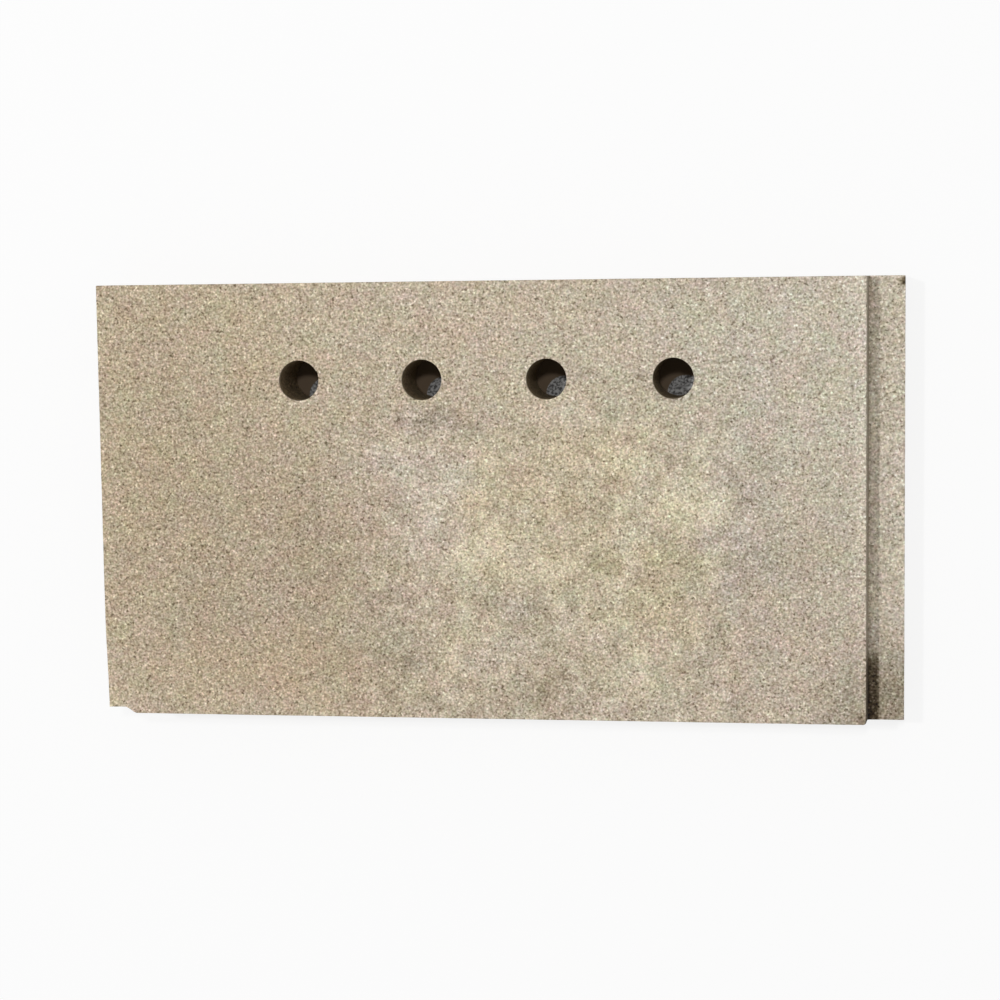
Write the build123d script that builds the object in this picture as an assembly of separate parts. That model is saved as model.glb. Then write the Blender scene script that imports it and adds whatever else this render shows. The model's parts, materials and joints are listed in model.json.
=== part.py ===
from build123d import *
import os

# Vermiculite fire brick for the lining of a stove, one slab sawn from pressed board.
# It lies on its back: +X along its length, +Y towards the edge with the air holes,
# +Z up out of the face that looks into the fire. The origin is the middle of the
# back face's bounding rectangle. Lengths are in millimetres.

# Slab
LENGTH = 323.0
WIDTH = 175.0
THICKNESS = 30.0

# Lap rebate along the right end, cut into the upper face
REBATE_WIDTH = 14.0
REBATE_DEPTH = 12.0

# Row of round air holes, drilled right through
HOLE_COUNT = 4
HOLE_DIAMETER = 16.0
HOLE_PITCH = 50.0
FIRST_HOLE_FROM_LEFT = 83.5
HOLE_ROW_FROM_TOP = 39.0

# Chip out of the lower left corner, seen from above
CHIP_FLAT = 6.7
CHIP_LENGTH = 10.2
CHIP_HEIGHT = 3.0

# Worn arrises
ARRIS_RADIUS = 0.6
HOLE_RIM_CHAMFER = 0.5

LEFT = -LENGTH / 2
RIGHT = LENGTH / 2
TOP = WIDTH / 2
BOTTOM = -WIDTH / 2
TREAD_LEVEL = THICKNESS - REBATE_DEPTH
STEP_X = RIGHT - REBATE_WIDTH


def slab():
    """The sawn board: a rectangle with one corner broken off, given its thickness."""
    outline = Polyline(
        (RIGHT, BOTTOM),
        (RIGHT, TOP),
        (LEFT, TOP),
        (LEFT, BOTTOM + CHIP_HEIGHT),
        (LEFT + CHIP_FLAT, BOTTOM + CHIP_HEIGHT),
        (LEFT + CHIP_LENGTH, BOTTOM),
        close=True,
    )
    return extrude(make_face(outline), THICKNESS)


def lap_rebate():
    """What the saw takes off the right end so that the next brick laps over the tread."""
    cut = Box(REBATE_WIDTH, WIDTH, REBATE_DEPTH, align=(Align.MAX, Align.CENTER, Align.MAX))
    return Pos(RIGHT, 0, THICKNESS) * cut


def air_holes():
    """The drill's path at each place in the row."""
    drill = Cylinder(HOLE_DIAMETER / 2, THICKNESS, align=(Align.CENTER, Align.CENTER, Align.MIN))
    first_x = LEFT + FIRST_HOLE_FROM_LEFT
    row_y = TOP - HOLE_ROW_FROM_TOP
    return [Pos(first_x + i * HOLE_PITCH, row_y, 0) * drill for i in range(HOLE_COUNT)]


def is_inside_corner(edge):
    """True for the line where the rebate's tread meets its riser."""
    middle = edge.center()
    return abs(middle.X - STEP_X) < ARRIS_RADIUS and abs(middle.Z - TREAD_LEVEL) < ARRIS_RADIUS


def outer_arrises(brick):
    """The straight edges along the faces and at the four sawn corners, in their order round the slab."""
    straight = brick.edges().filter_by(GeomType.LINE)
    return [edge for edge in straight if not is_inside_corner(edge)]


def worn(brick):
    """Rubs the arrises round and breaks the rims of the holes."""
    brick = fillet(outer_arrises(brick), ARRIS_RADIUS)
    rims = brick.edges().filter_by(GeomType.CIRCLE)
    rims = [rim for rim in rims if rim.radius > HOLE_DIAMETER / 4]
    return chamfer(rims, HOLE_RIM_CHAMFER)


def fire_brick():
    brick = slab() - lap_rebate()
    for hole in air_holes():
        brick -= hole
    return worn(brick)


os.makedirs("parts", exist_ok=True)
export_step(fire_brick(), "parts/fire_brick.step")
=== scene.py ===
import json
import math

import bmesh
import bpy
from mathutils import Matrix, Vector, noise


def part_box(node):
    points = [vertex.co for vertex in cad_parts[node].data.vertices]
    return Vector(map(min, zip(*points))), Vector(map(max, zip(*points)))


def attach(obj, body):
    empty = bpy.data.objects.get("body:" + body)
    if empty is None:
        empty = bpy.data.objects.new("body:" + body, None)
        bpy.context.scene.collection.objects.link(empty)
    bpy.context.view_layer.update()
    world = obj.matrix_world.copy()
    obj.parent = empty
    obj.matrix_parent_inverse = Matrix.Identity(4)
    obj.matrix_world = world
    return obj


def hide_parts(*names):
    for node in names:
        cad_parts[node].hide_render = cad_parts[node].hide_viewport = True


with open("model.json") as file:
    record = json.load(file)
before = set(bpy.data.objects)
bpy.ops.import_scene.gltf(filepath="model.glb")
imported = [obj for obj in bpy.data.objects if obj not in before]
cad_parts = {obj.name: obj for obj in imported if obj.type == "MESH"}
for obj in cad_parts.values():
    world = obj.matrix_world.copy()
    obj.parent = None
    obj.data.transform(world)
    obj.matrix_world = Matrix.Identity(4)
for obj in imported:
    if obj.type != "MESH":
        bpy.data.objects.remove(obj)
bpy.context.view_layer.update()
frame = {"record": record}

# The brick lies on its back, in metres: +X towards the lap rebate, +Y towards the air
# holes, +Z up out of the face. Sizes are written in millimetres times MM.
MM = 0.001

NODE = "fire_brick"
low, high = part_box(NODE)
mounts = {mount["name"]: mount for mount in frame["record"]["mounts"]}
HOLES = [Vector(mounts[name]["pos_m"]) for name in sorted(mounts) if name.startswith("air_hole")]
HOLE_RADIUS = mounts["air_hole_1"]["dims"]["r_mm"] * MM
STEP_X = mounts["lap_riser"]["pos_m"][0]
TREAD_Z = mounts["lap_tread"]["pos_m"][2]

# Mesh spacing: fine cells on all that shows, narrower beside the arrises, wide ones on the back
CELL = 1.02 * MM
GATHER_REACH = 8.0 * MM
GATHER_POWER = 1.4
BACK_CELL = 6.0 * MM
BACK_MARGIN = 5.0 * MM
WELD = 0.01 * MM

# Half width of the square that is drawn in to a round rim, on the face and on the back
PATCH = 11.6 * MM
BACK_PATCH = 12.5 * MM
PATCH_RINGS = 6
BORE_ROWS = 26

# Chip out of the lower left corner: a level stretch, then a slope down to the long edge
CHIP_FLAT = 8.3 * MM
CHIP_LENGTH = 11.8 * MM
CHIP_HEIGHT = 2.5 * MM
CHIP_REACH = 9.0 * MM
CHIP_ROUGHNESS = 0.45 * MM
CHIP_GRAIN = 2.4 * MM
CHIP_EDGE = 1.0 * MM

# The left end above the chip is rubbed
RUBBED_LENGTH = 45.0 * MM
RUBBED_DEPTH = 0.8 * MM

# The riser leans back a little, so that the face ends short of the foot of the step
RISER_LEAN = 0.9 * MM
LEAN_REACH = 6.0 * MM

# Arrises: how round they are worn, how much crumbles out of them and where they are nicked
ARRIS_RADIUS = 0.30 * MM
ARRIS_CRUMBLE = 0.50 * MM
CRUMBLE_SPACING = 3.1 * MM
FINE_CRUMBLE_SPACING = 1.3 * MM
ARRIS_NICK = 1.5 * MM
NICK_SPACING = 9.0 * MM
NICK_GRAIN = 2.0 * MM
NICK_START = 0.72

# Rims of the holes take a share of that wear; the face's corner over the lap loses more
RIM_RADIUS = 0.10 * MM
RIM_SHARE = 0.3
RIM_REACH = 3.0 * MM
BROKEN_CORNER = 0.7 * MM
BROKEN_REACH = 4.0 * MM

# Relief of the pressed flakes, all of it cut into the surface
LUMP_SPACING = 8.0 * MM
LUMP_DEPTH = 0.10 * MM
GRAIN_SPACING = 2.4 * MM
FINE_GRAIN_SPACING = 1.1 * MM
GRAIN_DEPTH = 0.07 * MM
PIT_SPACING = 6.0 * MM
PIT_RADIUS = 1.1 * MM
PIT_DEPTH = 0.35 * MM
PIT_SHARE = 0.12
PIT_SEED = 11

# What the mesh keeps at each point for the colour; the stain mark holds the lap's painted shade too
MARKS = ("wear", "bore", "stain", "yellow", "pink")

# How far a fully worn point has moved, how far down a bore its painted shade takes to grow full, and how
# far down stains reach
FULL_WEAR = 0.5 * MM
BORE_FADE = 3.0 * MM
STAIN_DEPTH = 5.0 * MM

# Stained places on the face: x, y, half width and half height in millimetres, change of
# tone, lean to yellow (below nought to blue) and lean to pink (below nought to green)
STAINS = (
    (-35, 14, 24, 18, 0.030, -0.8, 0.0),
    (-20, 31, 20, 6, -0.050, -0.7, 0.0),
    (-22, -12, 20, 22, 0.038, -0.5, 0.0),
    (-3, -20, 12, 11, 0.070, 0.5, -0.3),
    (-8, -2, 11, 9, 0.024, 0.5, 0.1),
    (-1, 17, 9, 8, 0.025, 0.2, 0.0),
    (19, 5, 20, 18, 0.000, 0.3, 0.4),
    (21, -26, 15, 10, 0.035, 0.3, 0.0),
    (48, 22, 22, 14, 0.012, 0.5, 0.3),
    (58, 42, 18, 8, -0.022, 0.0, 0.0),
    (76, -2, 15, 12, 0.080, 0.5, -0.2),
    (78, -24, 18, 7, -0.012, 0.9, -0.5),
    (99, -18, 13, 22, -0.030, -0.9, 0.1),
    (100, 16, 12, 20, -0.026, -0.2, 0.0),
    (118, -22, 22, 18, -0.020, 0.0, 0.1),
    (40, -8, 58, 56, 0.014, 0.6, -0.2),
    (43, -23, 10, 8, -0.040, 0.6, 0.1),
    (68, -30, 14, 8, -0.040, 0.4, 0.0),
    (92, -8, 13, 8, 0.020, 0.0, 0.0),
    (-16, -56, 15, 11, 0.042, 0.4, 0.1),
    (3, -60, 18, 12, 0.000, -0.3, -0.1),
    (13, -41, 10, 11, -0.045, -0.6, 0.0),
    (17, -76, 11, 8, -0.090, 0.0, 0.3),
    (58, -68, 18, 11, 0.045, 0.4, -0.3),
    (66, -46, 24, 13, 0.008, 0.9, 0.0),
    (-112, -50, 24, 18, -0.014, 0.0, 0.0),
    (27, 37, 11, 7, 0.035, 0.0, 0.0),
    (47, 37, 7, 5, -0.040, 0.2, -0.5),
    (-70, -20, 18, 34, -0.030, 0.1, 0.2),
    (-100, -20, 54, 60, -0.032, 0.1, 0.1),
    (-120, 56, 40, 26, -0.014, 0.1, 0.0),
    (-142, 10, 30, 60, -0.012, 0.2, 0.0),
    (-86, -70, 50, 18, 0.004, 0.6, 0.5),
    (-60, -66, 34, 15, -0.026, 0.0, 0.0),
    (-40, -60, 18, 18, -0.040, -0.3, -0.2),
    (108, -64, 46, 30, -0.006, 0.0, 0.5),
    (118, 48, 80, 56, 0.022, -0.3, -0.4),
    (140, 76, 30, 20, 0.014, 0.0, 0.0),
    (-10, 70, 90, 18, 0.014, -0.1, 0.0),
    (-92, 62, 24, 24, 0.006, 0.4, 0.0),
    (146, -86, 3, 3, -0.160, 0.0, 0.4),
    (14, -12, 11, 9, 0.034, -0.1, 0.0),
    (-1, 9, 9, 8, 0.026, 0.0, 0.0),
    (30, 10, 9, 8, 0.026, 0.0, 0.0),
    (-60, -4, 9, 12, 0.022, -0.3, 0.0),
    (-27, -60, 8, 8, 0.026, 0.0, 0.0),
    (147, -60, 6, 12, -0.032, 0.0, 0.0),
    (-19, -86, 18, 6, -0.034, 0.0, 0.0),
    (3, -74, 7, 6, -0.024, 0.0, 0.0),
    (-58, 33, 9, 8, -0.020, 0.0, 0.0),
    (104, -56, 10, 9, -0.018, 0.0, 0.0),
)

# Smooth noise bends the stains' outlines by up to this many millimetres
FLOW = 7.0
FLOW_SPACING = 15.0 * MM

# Mottling between a left, a right and an upper limit, each with its fade in millimetres
MOTTLED = ((-62, 14), (114, 16), (39, 5))
MOTTLE_SPACING = 6.5 * MM
MOTTLE_CHANGE = 0.14
FINE_MOTTLE = 0.8

# Changes of tone on the lap: a lift of the tread and painted shade on the riser; they fade over this
# depth down the slab's sides
LAP_FADE = 2.0 * MM
TREAD_LIFT = 0.034
RISER_PAINTED_SHADE = -0.16

# Darker round the lower end of the lap, weaker on the face; places and reaches in millimetres
DARK_PATCH_AT = Vector((163.0, -94.0))
DARK_PATCH_REACH = 50.0
DARK_PATCH_FADE = 34.0
DARK_PATCH_CHANGE = -0.18
FACE_DARK_PATCH_SHARE = 0.65

# Painted shade in the corner under the riser towards its lower end, deepening the riser's shadow on the
# tread; it loses half of its tone by the riser's head
CORNER_WIDTH = 4.1
CORNER_FADE = 0.7
CORNER_TOP = -58.0
CORNER_TOP_FADE = 9.0
CORNER_PAINTED_SHADE = -0.34
HEAD_LOSS = 0.5

# Painted shade: a dark line along the whole corner at the riser's foot, and a dark spot in a small chip
# at the tread's upper end
LINE_WIDTH = 0.75
LINE_FADE = 0.5
LINE_PAINTED_SHADE = -0.10
SPOT_AT = Vector((160.7, 85.2))
SPOT_RADIUS = 2.1
SPOT_FADE = 1.4
SPOT_PAINTED_SHADE = -0.50

# Camera, fitted to the photograph's outline
CAMERA_AT = Vector((145.7, 85.3, 932.4)) * MM
CAMERA_LOOKS_AT = Vector((3.0, 0.7, 30.0)) * MM
CAMERA_ROLL = math.radians(0.73)
FOCAL_LENGTH = 83.27
SENSOR_WIDTH = 36.0

# Lamps: place in metres, size in metres and watts; the first throws the riser's shadow on the
# tread, the second one lights a patch of the ground through each hole
LAMPS = (
    ("side_lamp", Vector((-0.72, 0.40, 2.0)), 0.10, 14.6),
    ("top_lamp", Vector((0.12, 0.54, 2.0)), 0.14, 9.4),
)
SKY_STRENGTH = 0.49

# What the camera sees past the floor
SKY_COLOUR = (0.8, 0.8, 0.8, 1.0)

# Half width of the floor in metres, its paint, and how far the camera sees it as plain white
FLOOR_REACH = 8.0
FLOOR_COLOUR = (0.85, 0.85, 0.85, 1.0)
FLOOR_ROUGHNESS = 0.9
FLOOR_WHITE = 0.82

# Dark brown ground painted under the brick as painted shade, short of its outline, with grey grit only in
# painted pools of light where the holes show it:
# to the right of each hole's axis and below it, closer together than the holes
SHADED_GROUND_COLOUR = (0.15, 0.106, 0.066, 1.0)
GROUND_MARGIN = 14.0 * MM
GRIT_DARK = (0.10, 0.10, 0.10, 1.0)
GRIT_PALE = (0.50, 0.50, 0.50, 1.0)
GRIT_SIZE = 1.1 * MM
GRIT_CONTRAST = (0.35, 0.65)
LIT_PATCH_REACH = 7.4 * MM
LIT_PATCH_FADE = 0.5 * MM
LIT_PATCH_SPREAD = 0.987
LIT_PATCH_SHIFT = Vector((3.8, -7.5, 0.0)) * MM


def cells(length, cell=CELL):
    """How many mesh cells cover a length."""
    return max(1, round(length / cell))


def add_sheet(bm, corner, along, up, columns, rows):
    """A flat rectangle of small cells whose outside is along cross up."""
    axes = Matrix((along, up, along.cross(up).normalized())).transposed()
    place = Matrix.Translation(corner + (along + up) / 2) @ axes.to_4x4()
    return bmesh.ops.create_grid(bm, x_segments=columns, y_segments=rows, size=0.5, matrix=place)["verts"]


def add_level(bm, start, end, z):
    """The face or the tread: a level stretch of the upper side."""
    along = Vector((end - start, 0, 0))
    up = Vector((0, high.y - low.y, 0))
    add_sheet(bm, Vector((start, low.y, z)), along, up, cells(end - start), cells(high.y - low.y))


def add_end_wall(bm, x, foot, head, facing):
    """A stretch of an end of the slab, or the riser; facing is 1 towards +X and -1 towards -X."""
    start = low.y if facing > 0 else high.y
    along = Vector((0, facing * (high.y - low.y), 0))
    up = Vector((0, 0, head - foot))
    add_sheet(bm, Vector((x, start, foot)), along, up, cells(high.y - low.y), cells(head - foot))


def add_long_wall(bm, y, start, end, foot, head):
    """A stretch of a long edge of the slab; it faces -Y when it runs towards +X."""
    along = Vector((end - start, 0, 0))
    up = Vector((0, 0, head - foot))
    add_sheet(bm, Vector((start, y, foot)), along, up, cells(abs(end - start)), cells(head - foot))


def add_walls(bm):
    """All upright faces, in stretches that share their rows and columns."""
    add_end_wall(bm, low.x, 0.0, TREAD_Z, -1)
    add_end_wall(bm, low.x, TREAD_Z, high.z, -1)
    add_end_wall(bm, STEP_X, TREAD_Z, high.z, 1)
    add_end_wall(bm, high.x, 0.0, TREAD_Z, 1)
    stretches = (
        (low.x, STEP_X, 0.0, TREAD_Z),
        (low.x, STEP_X, TREAD_Z, high.z),
        (STEP_X, high.x, 0.0, TREAD_Z),
    )
    for start, end, foot, head in stretches:
        add_long_wall(bm, low.y, start, end, foot, head)
        add_long_wall(bm, high.y, end, start, foot, head)


def gather(value, stops):
    """Draws a coordinate towards the nearest arris, so that cells are narrow beside it."""
    stop = min(stops, key=lambda place: abs(value - place))
    room = min([abs(stop - other) / 2 for other in stops if other != stop] + [GATHER_REACH])
    away = value - stop
    if abs(away) >= room:
        return value
    return stop + math.copysign(room * (abs(away) / room) ** GATHER_POWER, away)


def gather_cells(bm):
    """Makes the cells narrow along every arris and along the step."""
    for vert in bm.verts:
        vert.co.x = gather(vert.co.x, (low.x, STEP_X, high.x))
        vert.co.y = gather(vert.co.y, (low.y, high.y))
        vert.co.z = gather(vert.co.z, (0.0, TREAD_Z, high.z))


def hole_near(point, reach):
    """The hole whose square of this half width holds the point, if any does."""
    for hole in HOLES:
        if abs(point.x - hole.x) < reach and abs(point.y - hole.y) < reach:
            return hole
    return None


def carry_on(bm, rim):
    """Extrudes an open rim and gives back the new rim, still in the old place, and its points."""
    made = bmesh.ops.extrude_edge_only(bm, edges=rim)["geom"]
    old = {vert for edge in rim for vert in edge.verts}
    edges = [item for item in made if isinstance(item, bmesh.types.BMEdge)]
    new_rim = [edge for edge in edges if not old & set(edge.verts)]
    return new_rim, {vert for edge in new_rim for vert in edge.verts}


def open_square(bm, hole, half_width, facing):
    """Takes the faces of one level side out of a square round a hole and gives back its rim."""
    inside = [
        face for face in bm.faces
        if face.normal.z * facing > 0.5 and hole_near(face.calc_center_median(), half_width) is hole
    ]
    edges = {edge for face in inside for edge in face.edges}
    bmesh.ops.delete(bm, geom=inside, context="FACES")
    return [edge for edge in edges if edge.is_valid and edge.is_boundary]


def set_reach(vert, hole, reach):
    """Moves a point of a hole's ring along its own spoke to a distance from the axis."""
    spoke = Vector((vert.co.x - hole.x, vert.co.y - hole.y)).normalized() * reach
    vert.co.x = hole.x + spoke.x
    vert.co.y = hole.y + spoke.y


def drill(bm, hole):
    """Opens a square in the face, draws its rim in to a circle and carries that down as the bore."""
    rim = open_square(bm, hole, PATCH, 1)
    for left in range(PATCH_RINGS, 0, -1):
        rim, ring = carry_on(bm, rim)
        for vert in ring:
            arm = math.hypot(vert.co.x - hole.x, vert.co.y - hole.y)
            set_reach(vert, hole, HOLE_RADIUS + (arm - HOLE_RADIUS) * (left - 1) / left)
    for row in range(1, BORE_ROWS + 1):
        rim, ring = carry_on(bm, rim)
        for vert in ring:
            vert.co.z = high.z * (1 + math.cos(math.pi * row / BORE_ROWS)) / 2
    return rim


def close_back(bm, bore_rims):
    """Wide cells over the flat back, stitched to the fine rims of the outline and of the bores."""
    in_bores = {edge for rim in bore_rims for edge in rim}
    outline = [edge for edge in bm.edges if edge.is_boundary and edge not in in_bores]
    corner = Vector((low.x + BACK_MARGIN, high.y - BACK_MARGIN, 0))
    along = Vector((high.x - low.x - 2 * BACK_MARGIN, 0, 0))
    up = Vector((0, low.y - high.y + 2 * BACK_MARGIN, 0))
    columns, rows = cells(along.length, BACK_CELL), cells(up.length, BACK_CELL)
    points = set(add_sheet(bm, corner, along, up, columns, rows))
    bm.normal_update()
    border = [edge for edge in bm.edges if edge.is_boundary and edge.verts[0] in points]
    bmesh.ops.bridge_loops(bm, edges=outline + border)
    for hole, rim in zip(HOLES, bore_rims):
        opening = open_square(bm, hole, BACK_PATCH, -1)
        bmesh.ops.bridge_loops(bm, edges=rim + opening)


def height_noise(point, spacing, seed=0.0):
    """Smooth noise from 0 to 1, with bumps about as wide as the spacing; each seed has its own."""
    return 0.5 + 0.5 * noise.noise(point / spacing + Vector((seed, seed, seed)))


def arris_radius(point):
    """How far an arris is worn round at a place: a little everywhere, more in a few nicks."""
    crumble = height_noise(point, CRUMBLE_SPACING, 5.0) ** 2
    crumble *= height_noise(point, FINE_CRUMBLE_SPACING, 9.0)
    nick = max(0.0, height_noise(point, NICK_SPACING, 17.0) - NICK_START) / (1 - NICK_START)
    nick *= height_noise(point, NICK_GRAIN, 3.0)
    return ARRIS_RADIUS + ARRIS_CRUMBLE * crumble + ARRIS_NICK * nick


def rounded(depths, radius):
    """How far a point moves in from each side of a rounded arris, given its depths under them."""
    overlap = [max(0.0, radius - depth) for depth in depths]
    length = math.sqrt(sum(value * value for value in overlap))
    if length <= radius:
        return [0.0] * len(depths)
    return [value * (1 - radius / length) for value in overlap]


def wear_arrises(point):
    """How far a point of the slab's outside moves in when the straight arrises are worn."""
    end = STEP_X if point.x <= STEP_X + WELD and point.z > TREAD_Z + WELD else high.x
    top = high.z if point.x <= STEP_X + WELD else TREAD_Z
    bounds = ((low.x, end), (low.y, high.y), (0.0, top))
    depths, inward = [], []
    for value, (start, stop) in zip(point, bounds):
        near_start = value - start < stop - value
        depths.append(value - start if near_start else stop - value)
        inward.append(1 if near_start else -1)
    radius = arris_radius(point)
    if end == STEP_X and point.x > STEP_X - CELL:
        radius += BROKEN_CORNER * max(0.0, 1 - (point.y - low.y) / BROKEN_REACH)
    shift = rounded(depths, radius)
    return Vector([amount * way for amount, way in zip(shift, inward)])


def wear_rim(point, hole):
    """How far a point beside a hole moves when the rims at the face and at the back are worn."""
    spoke = Vector((point.x - hole.x, point.y - hole.y, 0))
    depth = min(point.z, high.z - point.z)
    radius = RIM_RADIUS + RIM_SHARE * arris_radius(point)
    outward, level = rounded((max(0.0, spoke.length - HOLE_RADIUS), depth), radius)
    upward = -1 if point.z > high.z / 2 else 1
    return spoke.normalized() * outward + Vector((0, 0, upward * level))


def lost_flake(point):
    """From 0 to 1, how deep a place lies in a pit that a flake has left."""
    distances, centres = noise.voronoi(point / PIT_SPACING)
    if noise.cell(centres[0] * PIT_SEED) > PIT_SHARE:
        return 0.0
    return max(0.0, 1 - (distances[0] * PIT_SPACING / PIT_RADIUS) ** 2)


def relief(point):
    """How deep the pressed flakes leave the surface at a place."""
    lumps = LUMP_DEPTH * height_noise(point, LUMP_SPACING)
    grain = height_noise(point, GRAIN_SPACING, 31.0) * height_noise(point, FINE_GRAIN_SPACING, 47.0)
    return lumps + GRAIN_DEPTH * grain + PIT_DEPTH * lost_flake(point)


def ease(value):
    """A smooth step from 0 to 1."""
    value = min(max(value, 0.0), 1.0)
    return value * value * (3 - 2 * value)


def break_corner(point):
    """How the chipped lower left corner and the rubbed end above it draw a point in."""
    along = point.x - low.x
    up = point.y - low.y
    lift = CHIP_HEIGHT * min(1.0, max(0.0, (CHIP_LENGTH - along) / (CHIP_LENGTH - CHIP_FLAT)))
    lift += CHIP_ROUGHNESS * (height_noise(point, CHIP_GRAIN, 13.0) - 0.5) * ease(lift / CHIP_EDGE)
    hold = max(0.0, 1 - up / CHIP_REACH) ** 2
    rubbed = RUBBED_DEPTH * ease(1 - up / RUBBED_LENGTH) * max(0.0, 1 - along / CHIP_REACH) ** 2
    return Vector((rubbed, lift * hold, 0))


def lean_riser(point):
    """How the riser, and the end of the face with it, leans back above the tread."""
    height = max(0.0, (point.z - TREAD_Z) / (high.z - TREAD_Z))
    hold = max(0.0, 1 - (STEP_X - point.x) / LEAN_REACH) if point.x <= STEP_X + WELD else 0.0
    return Vector((-RISER_LEAN * height * hold, 0, 0))


def stained(point):
    """Change of tone and leans to yellow and to pink at a place of the upper side."""
    flow = Vector((noise.noise(point / FLOW_SPACING), noise.noise(point / -FLOW_SPACING)))
    x, y = point.xy / MM + flow * FLOW
    sums = [0.0, 0.0, 0.0]
    for middle_x, middle_y, half_width, half_height, *changes in STAINS:
        apart = ((x - middle_x) / half_width) ** 2 + ((y - middle_y) / half_height) ** 2
        hold = max(0.0, 1 - apart / 2) ** 2
        if hold:
            sums = [value + hold * change for value, change in zip(sums, changes)]
    (left, left_fade), (right, right_fade), (top, top_fade) = MOTTLED
    inside = ease((x - left) / left_fade) * ease((right - x) / right_fade) * ease((top - y) / top_fade)
    blotch = height_noise(point, MOTTLE_SPACING, 2.0) - 0.5
    blotch += FINE_MOTTLE * (height_noise(point, MOTTLE_SPACING / 2, 8.0) - 0.5)
    sums[0] += MOTTLE_CHANGE * inside * blotch
    return sums


def lap_tone_and_shade(point):
    """Change of tone on the lap: a lighter tread, painted shade on the riser, in its corner and in a
    chip, and a darker patch round its lower end.
    """
    place = point.xy / MM
    beside = abs(place.x - STEP_X / MM)
    # Darker round the lower end of the lap
    dark_patch = DARK_PATCH_CHANGE * ease((DARK_PATCH_REACH - (place - DARK_PATCH_AT).length) / DARK_PATCH_FADE)
    # Painted shade in the corner under the riser, towards its lower end
    corner = CORNER_PAINTED_SHADE * ease((CORNER_WIDTH - beside) / CORNER_FADE)
    corner *= ease((CORNER_TOP - place.y) / CORNER_TOP_FADE)
    if point.z > TREAD_Z + WELD:
        on_riser = point.x > STEP_X - WELD and point.z < high.z - WELD
        height = (point.z - TREAD_Z) / (high.z - TREAD_Z)
        # The riser is darkened with painted shade, and the corner's painted shade runs up it
        riser = RISER_PAINTED_SHADE + corner * (1 - HEAD_LOSS * height) if on_riser else 0.0
        return dark_patch * FACE_DARK_PATCH_SHARE + riser
    tread = corner + (TREAD_LIFT if point.x > STEP_X + WELD else 0.0)
    # Painted shade: a dark line at the riser's foot and a dark spot in the chip at the tread's upper end
    tread += LINE_PAINTED_SHADE * ease((LINE_WIDTH - beside) / LINE_FADE)
    tread += SPOT_PAINTED_SHADE * ease((SPOT_RADIUS - (place - SPOT_AT).length) / SPOT_FADE)
    return dark_patch + tread * ease(1 - (TREAD_Z - point.z) / LAP_FADE)


def weather(bm):
    """Wears, chips and pits the whole surface and keeps what its colour takes from the place."""
    bm.normal_update()
    layers = [bm.verts.layers.float.new(name) for name in MARKS]
    moved = []
    for vert in bm.verts:
        point = vert.co.copy()
        hole = hole_near(point, HOLE_RADIUS + RIM_REACH)
        in_bore = hole is not None and WELD < point.z < high.z - WELD
        shift = wear_rim(point, hole) if hole else wear_arrises(point)
        shift += break_corner(point) + lean_riser(point)
        upper = ease(1 - (high.z - point.z) / STAIN_DEPTH)
        tone, yellow, pink = [value * upper for value in stained(point)] if upper else (0.0, 0.0, 0.0)
        worn = min(1.0, shift.length / FULL_WEAR)
        # The bore's mark: painted shade that grows down from its rim
        depth = ease((high.z - point.z) / BORE_FADE) if in_bore else 0.0
        # The stain mark takes the stains and the lap's painted shade together
        for layer, value in zip(layers, (worn, depth, tone + lap_tone_and_shade(point), yellow, pink)):
            vert[layer] = value
        if point.z > WELD:
            shift -= vert.normal * relief(point)
        moved.append(point + shift)
    for vert, place in zip(bm.verts, moved):
        vert.co = place


def brick_mesh():
    """The whole slab as one closed mesh: level sides and walls, holes, back, then wear."""
    bm = bmesh.new()
    add_level(bm, low.x, STEP_X, high.z)
    add_level(bm, STEP_X, high.x, TREAD_Z)
    add_walls(bm)
    bmesh.ops.remove_doubles(bm, verts=bm.verts, dist=WELD)
    gather_cells(bm)
    bm.normal_update()
    bore_rims = [drill(bm, hole) for hole in HOLES]
    close_back(bm, bore_rims)
    bmesh.ops.recalc_face_normals(bm, faces=bm.faces)
    weather(bm)
    return bm


class Wire:
    """A shader socket on which sums are written as plain expressions."""

    def __init__(self, finish, socket):
        self.finish = finish
        self.socket = socket

    def math(self, operation, first, second=0.0):
        """Adds one Math node, whose values are wires or numbers."""
        return self.finish.add("Math", {"operation": operation}, {0: first, 1: second})

    def __add__(self, other):
        return self.math("ADD", self, other)

    def __radd__(self, other):
        return self.math("ADD", other, self)

    def __sub__(self, other):
        return self.math("SUBTRACT", self, other)

    def __rsub__(self, other):
        return self.math("SUBTRACT", other, self)

    def __mul__(self, other):
        return self.math("MULTIPLY", self, other)

    def __rmul__(self, other):
        return self.math("MULTIPLY", other, self)

    def __truediv__(self, other):
        return self.math("DIVIDE", self, other)

    def __abs__(self):
        return self.math("ABSOLUTE", self)

    def __gt__(self, other):
        return self.math("GREATER_THAN", self, other)

    def at_least(self, other):
        """The greater of the two values."""
        return self.math("MAXIMUM", self, other)

    def at_most(self, other):
        """The smaller of the two values."""
        return self.math("MINIMUM", self, other)

    def ramp(self, start, end):
        """Goes from 0 to 1, smoothly, as the value goes from start to end."""
        settings = {"interpolation_type": "SMOOTHSTEP"}
        return self.finish.add("MapRange", settings, {0: self, 1: start, 2: end, 3: 0.0, 4: 1.0})


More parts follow.
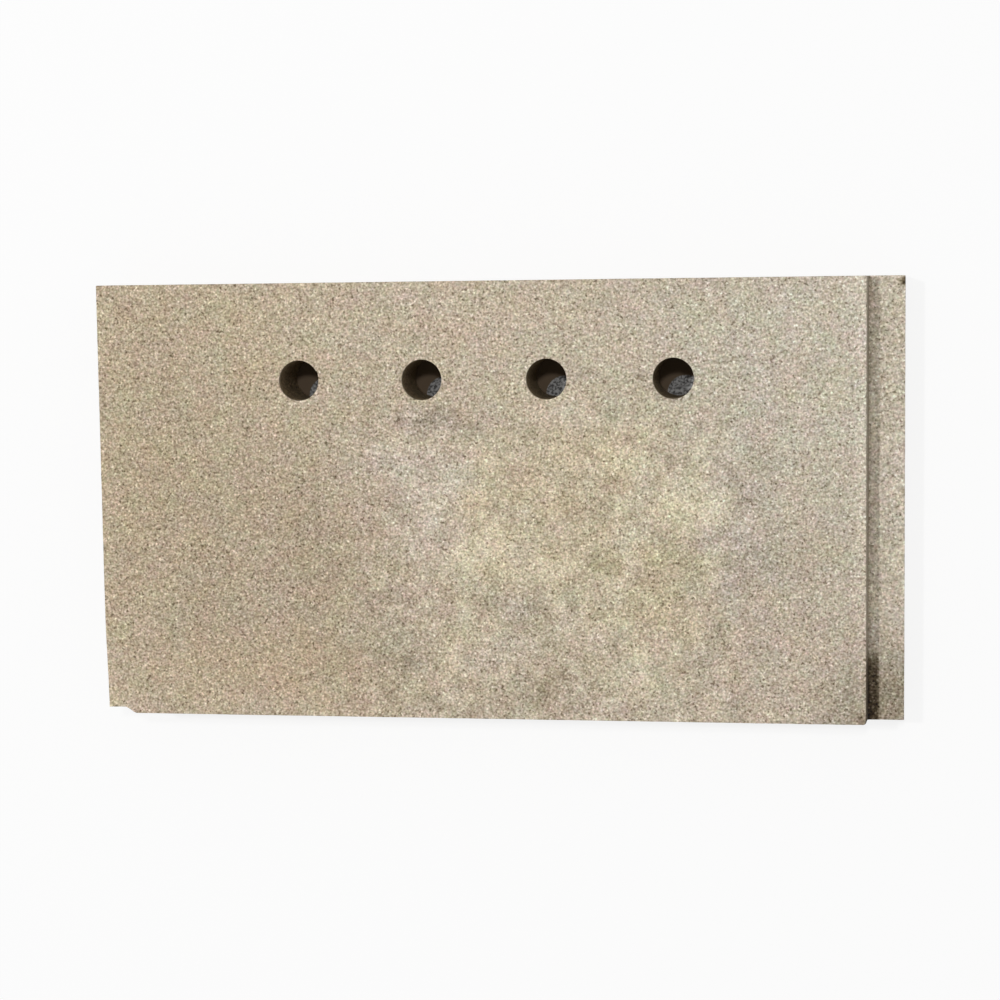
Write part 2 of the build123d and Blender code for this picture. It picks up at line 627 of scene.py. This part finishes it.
class Finish:
    """The nodes of a material, or of the light all round, added to the shader it starts with."""

    def __init__(self, block, shader):
        block.use_nodes = True
        self.block = block
        self.tree = block.node_tree
        self.shader = self.tree.nodes[shader]

    def add(self, kind, settings, sockets, out=0):
        """Makes a node, sets it, feeds its sockets and gives back one of its outputs."""
        node = self.tree.nodes.new("ShaderNode" + kind)
        for name, value in settings.items():
            if name == "stops":
                self.set_stops(node.color_ramp, value)
            else:
                setattr(node, name, value)
        for key, value in sockets.items():
            self.feed(node.inputs[key], value)
        return Wire(self, node.outputs[out])

    def feed(self, socket, value):
        """Links a wire to a socket, or sets the socket's own value."""
        if isinstance(value, Wire):
            self.tree.links.new(value.socket, socket)
        else:
            socket.default_value = value

    def set_stops(self, color_ramp, stops):
        """Gives a colour ramp its stops, each a place and a colour."""
        while len(color_ramp.elements) < len(stops):
            color_ramp.elements.new(0.5)
        for element, (place, colour) in zip(color_ramp.elements, stops):
            element.position = place
            element.color = (*colour, 1.0)

    def shaded(self):
        """What the shader that the tree started with gives out."""
        return Wire(self, self.shader.outputs[0])

    def blend(self, mode, factor, first, second):
        """Mixes two colours."""
        settings = {"data_type": "RGBA", "blend_type": mode}
        return self.add("Mix", settings, {0: factor, 6: first, 7: second}, out=2)

    def vector(self, operation, first, second, out=0):
        """Sums on places; a distance or a dot product comes out as Value."""
        return self.add("VectorMath", {"operation": operation}, {0: first, 1: second}, out=out)

    def noise(self, place, spacing, detail=0.0, out="Fac"):
        """Smooth noise whose bumps are about as wide as the spacing, in the place's units."""
        sockets = {"Vector": place, "Scale": 1.0 / spacing, "Detail": detail, "Roughness": 0.5}
        return self.add("TexNoise", {}, sockets, out=out)

    def flakes(self, place, size, out):
        """Broken cells of one size: their random colours, or their middles."""
        sockets = {"Vector": place, "Scale": 1.0 / size, "Randomness": 1.0}
        return self.add("TexVoronoi", {}, sockets, out=out)

    def chance(self, colour, channel):
        """One of the three random numbers from 0 to 1 that a flake's colour holds."""
        return self.add("SeparateColor", {}, {0: colour}, out=channel)

    def tinted(self, colour, tint):
        """A colour multiplied by a tint."""
        return self.blend("MULTIPLY", 1.0, colour, tint)

    def mark(self, name):
        """What the mesh keeps at each point under a name."""
        return self.add("Attribute", {"attribute_name": name}, {}, out="Fac")


def linear(level):
    """A screen level from 0 to 1 as an amount of light."""
    return level / 12.92 if level <= 0.04045 else ((level + 0.055) / 1.055) ** 2.4


# Colour of the pressed board against its tone, from a shaded gap to a pale flake
WARM_STEP = 0.058
YELLOW_STEP = 0.089
TONES = (0.0, 0.2, 0.35, 0.5, 0.6, 0.7, 0.8, 0.9, 1.0)

# Mean tone of the face, and painted light that makes it brighter and cooler from its left end to its
# right one
FACE_TONE = 0.687
RIGHT_PAINTED_LIGHT = 0.045
LEFT_LIGHT_TINT = (1.02, 1.0, 0.96, 1.0)
RIGHT_LIGHT_TINT = (0.965, 1.0, 1.05, 1.0)

# Tints of a whole lean to yellow, to blue, to pink and to green
PLAIN = (1.0, 1.0, 1.0, 1.0)
YELLOW_TINT = (1.012, 1.0, 0.90, 1.0)
BLUE_TINT = (0.985, 0.995, 1.09, 1.0)
PINK_TINT = (1.04, 0.985, 1.01, 1.0)
GREEN_TINT = (0.955, 1.01, 0.98, 1.0)

# Flakes lie flat, this many times as wide as they are high; their sizes are in millimetres
FLATTENED = 2.2

# Soft specks: their spacings and how much they change the tone
SPECKS = ((0.75, 0.34), (1.05, 0.33))

# Broken flakes, each of its own tone; a few are bright mica, and a few are gaps darkened with painted
# shade
FLAKE_SIZE = 0.75
FLAKE_CHANGE = 0.06
MICA_SIZE = 0.7
MICA_CHANGE = 0.12
GAP_SIZE = 0.85
GAP_PAINTED_SHADE = -0.19

# Random numbers from 0 to 1 past which a flake starts to be mica or a gap, and is it fully
RARE = (0.93, 0.95)

# Noise in the hue: its spacings and its shares
HUE_NOISE = ((1.5, 0.20), (9.0, 0.14))

# Worn places are paler, and the walls of the bores carry painted shade, darker down the bore
WEAR_CHANGE = 0.05
BORE_PAINTED_SHADE = (0.46, 0.40, 0.29, 1.0)

# Matt surface, smoother on mica; in its bump the flakes lean and are dusty
ROUGHNESS = 0.92
MICA_SMOOTHNESS = 0.3
FLAKE_TILT = 0.45
DUST_SPACING = 0.8
DUST_HEIGHT = 0.12


def grain_colour(tone):
    """Flakes are all of one hue: a step redder and a step yellower than grey at any tone."""
    return (
        linear(min(1.0, tone + WARM_STEP)),
        linear(tone),
        linear(max(0.0, tone - YELLOW_STEP)),
    )


def pressed_vermiculite():
    """Golden beige flakes pressed into board: fine grain on all sides, clouded on the face."""
    finish = Finish(bpy.data.materials.new("pressed_vermiculite"), "Principled BSDF")
    metres = finish.add("TexCoord", {}, {}, out="Object")
    pressed = finish.vector("MULTIPLY", metres, (1 / MM, 1 / MM, FLATTENED / MM))
    along = finish.add("SeparateXYZ", {}, {0: metres}, out=0) / (high.x - low.x) + 0.5
    wear, bore, stain, yellow, pink = [finish.mark(name) for name in MARKS]

    # Painted light: brighter towards the right end
    tone = FACE_TONE + RIGHT_PAINTED_LIGHT * (along - 0.5) + stain + WEAR_CHANGE * wear
    for spacing, change in SPECKS:
        tone = tone + change * (finish.noise(pressed, spacing) - 0.5)
    flake = finish.chance(finish.flakes(pressed, FLAKE_SIZE, "Color"), 0)
    mica = finish.chance(finish.flakes(pressed, MICA_SIZE, "Color"), 1).ramp(*RARE)
    gap = finish.chance(finish.flakes(pressed, GAP_SIZE, "Color"), 2).ramp(*RARE)
    # Gaps between flakes are darkened with painted shade
    tone = tone + FLAKE_CHANGE * (flake - 0.5) + MICA_CHANGE * mica + GAP_PAINTED_SHADE * gap

    ramp = [(step, grain_colour(step)) for step in TONES]
    colour = finish.add("ValToRGB", {"stops": ramp}, {0: tone})
    # Painted light: yellower at the left end, cooler at the right
    colour = finish.tinted(colour, finish.blend("MIX", along, LEFT_LIGHT_TINT, RIGHT_LIGHT_TINT))
    for lean, more, less in ((yellow, YELLOW_TINT, BLUE_TINT), (pink, PINK_TINT, GREEN_TINT)):
        colour = finish.tinted(colour, finish.blend("MIX", lean.at_least(0.0), PLAIN, more))
        colour = finish.tinted(colour, finish.blend("MIX", (0 - lean).at_least(0.0), PLAIN, less))
    for spacing, share in HUE_NOISE:
        # The noise's mean is a half, and this level brings the mean of the tint back to one
        level = (1 - share / 2) / (1 - share)
        hues = finish.noise(pressed, spacing, 1.0, out="Color")
        colour = finish.tinted(colour, finish.blend("MIX", share, (level, level, level, 1.0), hues))
    # The bores' walls are darkened with painted shade
    colour = finish.blend("MULTIPLY", bore, colour, BORE_PAINTED_SHADE)
    finish.feed(finish.shader.inputs["Base Color"], colour)
    finish.feed(finish.shader.inputs["Roughness"], ROUGHNESS - MICA_SMOOTHNESS * mica)

    tilts = finish.vector("SUBTRACT", finish.flakes(pressed, FLAKE_SIZE, "Color"), (0.5, 0.5, 0.5))
    apart = finish.vector("SUBTRACT", pressed, finish.flakes(pressed, FLAKE_SIZE, "Position"))
    facet = finish.vector("DOT_PRODUCT", apart, tilts, out="Value")
    dust = finish.noise(pressed, DUST_SPACING, 1.0)
    height = FLAKE_TILT * facet + DUST_HEIGHT * dust
    bump = finish.add("Bump", {}, {"Strength": 1.0, "Distance": MM, "Height": height})
    finish.feed(finish.shader.inputs["Normal"], bump)
    return finish.block


def new_piece(name, bm, material):
    """A smooth-shaded piece of the brick, made from a finished bmesh."""
    mesh = bpy.data.meshes.new(name)
    bm.to_mesh(mesh)
    bm.free()
    mesh.polygons.foreach_set("use_smooth", [True] * len(mesh.polygons))
    piece = bpy.data.objects.new(name, mesh)
    bpy.context.scene.collection.objects.link(piece)
    mesh.materials.append(material)
    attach(piece, "root")
    return piece


def add_camera():
    """The photograph's viewpoint: above the slab, a little to the right and the top of it."""
    data = bpy.data.cameras.new("camera")
    data.sensor_width = SENSOR_WIDTH
    data.lens = FOCAL_LENGTH
    camera = bpy.data.objects.new("camera", data)
    bpy.context.scene.collection.objects.link(camera)
    view = (CAMERA_LOOKS_AT - CAMERA_AT).normalized()
    right = view.cross(Vector((0, 1, 0))).normalized()
    upright = Matrix((right, right.cross(view), -view)).transposed()
    turned = Matrix.Rotation(CAMERA_ROLL, 3, view) @ upright
    camera.matrix_world = Matrix.Translation(CAMERA_AT) @ turned.to_4x4()
    bpy.context.scene.camera = camera


def add_lamp(name, place, size, power):
    """A soft round lamp above the brick, turned to its face."""
    data = bpy.data.lights.new(name, "AREA")
    data.shape = "DISK"
    data.size = size
    data.energy = power
    lamp = bpy.data.objects.new(name, data)
    bpy.context.scene.collection.objects.link(lamp)
    lamp.location = place
    lamp.rotation_mode = "QUATERNION"
    lamp.rotation_quaternion = (Vector((0, 0, high.z)) - place).to_track_quat("-Z", "Y")


def add_surround():
    """Even soft light from all round, which the camera sees as one pale grey."""
    surround = Finish(bpy.data.worlds.new("surround"), "Background")
    surround.feed(surround.shader.inputs["Color"], PLAIN)
    surround.feed(surround.shader.inputs["Strength"], SKY_STRENGTH)
    pale = surround.add("Background", {}, {"Color": SKY_COLOUR, "Strength": 1.0})
    seen = surround.add("LightPath", {}, {}, out="Is Camera Ray")
    mixed = surround.add("MixShader", {}, {0: seen, 1: surround.shaded(), 2: pale})
    surround.feed(surround.tree.nodes["World Output"].inputs["Surface"], mixed)
    bpy.context.scene.world = surround.block


def floor_paint():
    """Pale paint that the camera sees as nearly white; under the brick, dark brown painted shade with
    grey grit in painted pools of light.
    """
    finish = Finish(bpy.data.materials.new("floor_paint"), "Principled BSDF")
    place = finish.add("TexCoord", {}, {}, out="Object")
    x = finish.add("SeparateXYZ", {}, {0: place}, out=0)
    y = finish.add("SeparateXYZ", {}, {0: place}, out=1)
    beside = (abs(x) / (high.x - GROUND_MARGIN)).at_least(abs(y) / (high.y - GROUND_MARGIN)) > 1.0

    speckle = finish.noise(place, GRIT_SIZE, 2.0).ramp(*GRIT_CONTRAST)
    grit = finish.blend("MIX", speckle, GRIT_DARK, GRIT_PALE)
    # Painted pools of light on the ground, where the top lamp shines through the holes
    lit_patches = [Vector((LIT_PATCH_SPREAD * hole.x, hole.y, 0.0)) + LIT_PATCH_SHIFT for hole in HOLES]
    away, *others = [finish.vector("DISTANCE", place, heap, out="Value") for heap in lit_patches]
    for other in others:
        away = away.at_most(other)
    # Dark brown painted shade round the painted pools of light
    ground = finish.blend("MIX", away.ramp(LIT_PATCH_REACH, LIT_PATCH_REACH + LIT_PATCH_FADE), grit, SHADED_GROUND_COLOUR)

    colour = finish.blend("MIX", beside, ground, FLOOR_COLOUR)
    finish.feed(finish.shader.inputs["Base Color"], colour)
    finish.feed(finish.shader.inputs["Roughness"], FLOOR_ROUGHNESS)
    seen = finish.add("LightPath", {}, {}, out="Is Camera Ray")
    white = finish.add("Emission", {}, {"Strength": 1.0})
    share = seen * beside * FLOOR_WHITE
    mixed = finish.add("MixShader", {}, {0: share, 1: finish.shaded(), 2: white})
    finish.feed(finish.tree.nodes["Material Output"].inputs["Surface"], mixed)
    return finish.block


def add_floor():
    """The ground that the brick lies on, which is stage and no part of it."""
    bm = bmesh.new()
    bmesh.ops.create_grid(bm, x_segments=1, y_segments=1, size=FLOOR_REACH)
    mesh = bpy.data.meshes.new("floor")
    bm.to_mesh(mesh)
    bm.free()
    floor = bpy.data.objects.new("floor", mesh)
    bpy.context.scene.collection.objects.link(floor)
    mesh.materials.append(floor_paint())


bpy.context.scene.view_settings.view_transform = "Standard"
add_camera()
for lamp in LAMPS:
    add_lamp(*lamp)
add_surround()
add_floor()
brick = new_piece("fire_brick_dressed", brick_mesh(), pressed_vermiculite())
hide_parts(NODE)
print("brick", len(brick.data.vertices), "points", len(brick.data.polygons), "faces")
